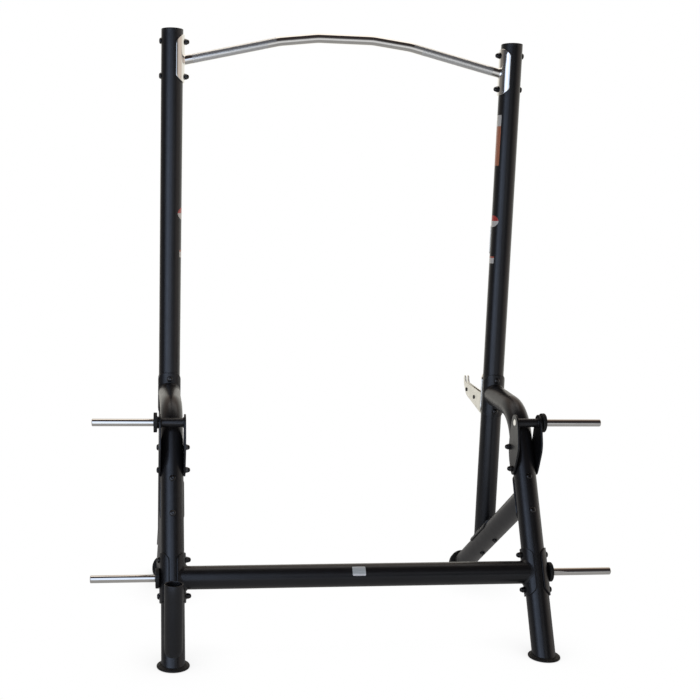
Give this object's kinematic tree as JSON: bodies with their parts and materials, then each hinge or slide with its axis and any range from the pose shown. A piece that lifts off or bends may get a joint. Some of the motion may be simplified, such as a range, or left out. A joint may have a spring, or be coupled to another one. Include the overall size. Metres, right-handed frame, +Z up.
{
  "type": "half rack",
  "caption": "Free-standing round-tube half rack with curved rear legs, diagonal braces, bent pull-up bar, plate pegs, fixed spotter arms and lift-off bar hooks.",
  "frame": {"origin": "on the floor, at the centre of the footprint, which is the bottom centre of the bounding box; the upright axes stand 189 mm in front of it", "axes": "+Z up along the uprights, +Y towards the lifter, away from the rear legs, +X across the rack so that the bar holder is at -X"},
  "size_m": [1.748, 1.0622, 2.0534],
  "materials": {
    "powder_coat": "satin black powder coat over steel tube and plate",
    "black_plastic": "moulded matt black plastic",
    "chrome": "bright chrome plate over steel",
    "rubber": "moulded black rubber",
    "satin_nickel": "satin nickel plate over steel",
    "black_oxide": "black oxide on steel fasteners"
  },
  "bodies": {
    "frame": {"upright_left": "powder_coat", "upright_cap_left": "black_plastic", "rear_leg_left": "powder_coat", "brace_left": "powder_coat", "peg_bracket_left": "powder_coat", "upper_peg_left": "chrome", "upper_peg_hub_left": "rubber", "lower_peg_saddle_left": "powder_coat", "lower_peg_left": "chrome", "lower_peg_hub_left": "rubber", "rear_foot_left": "rubber", "front_foot_left": "rubber", "spotter_arm_left": "satin_nickel", "arm_spacer_front_left": "black_oxide", "arm_spacer_rear_left": "black_oxide", "pullup_bolt_upper_left": "black_oxide", "pullup_bolt_lower_left": "black_oxide", "collar_bolt_upper_left": "black_oxide", "collar_bolt_lower_left": "black_oxide", "base_bolt_upper_left": "black_oxide", "base_bolt_lower_left": "black_oxide", "brace_bolt_upper_left": "black_oxide", "brace_bolt_lower_left": "black_oxide", "crossmember_bolt_upper_left": "black_oxide", "crossmember_bolt_lower_left": "black_oxide", "peg_bracket_bolt_upper_left": "black_oxide", "peg_bracket_bolt_lower_left": "black_oxide", "upright_right": "powder_coat", "upright_cap_right": "black_plastic", "rear_leg_right": "powder_coat", "brace_right": "powder_coat", "peg_bracket_right": "powder_coat", "upper_peg_right": "chrome", "upper_peg_hub_right": "rubber", "lower_peg_saddle_right": "powder_coat", "lower_peg_right": "chrome", "lower_peg_hub_right": "rubber", "rear_foot_right": "rubber", "front_foot_right": "rubber", "spotter_arm_right": "satin_nickel", "arm_spacer_front_right": "black_oxide", "arm_spacer_rear_right": "black_oxide", "pullup_bolt_upper_right": "black_oxide", "pullup_bolt_lower_right": "black_oxide", "collar_bolt_upper_right": "black_oxide", "collar_bolt_lower_right": "black_oxide", "base_bolt_upper_right": "black_oxide", "base_bolt_lower_right": "black_oxide", "brace_bolt_upper_right": "black_oxide", "brace_bolt_lower_right": "black_oxide", "crossmember_bolt_upper_right": "black_oxide", "crossmember_bolt_lower_right": "black_oxide", "peg_bracket_bolt_upper_right": "black_oxide", "peg_bracket_bolt_lower_right": "black_oxide", "crossmember": "powder_coat", "pullup_bar": "chrome", "bar_holder": "powder_coat"},
    "hook_left": {"bar_hook_left": "satin_nickel"},
    "hook_right": {"bar_hook_right": "satin_nickel"}
  },
  "joints": [
    {"name": "hook_lift_off_left", "type": "slide", "parent": "frame", "child": "hook_left", "axis": [0, 1, 0], "range_m": [0, 0.06]},
    {"name": "hook_lift_off_right", "type": "slide", "parent": "frame", "child": "hook_right", "axis": [0, 1, 0], "range_m": [0, 0.06]}
  ]
}
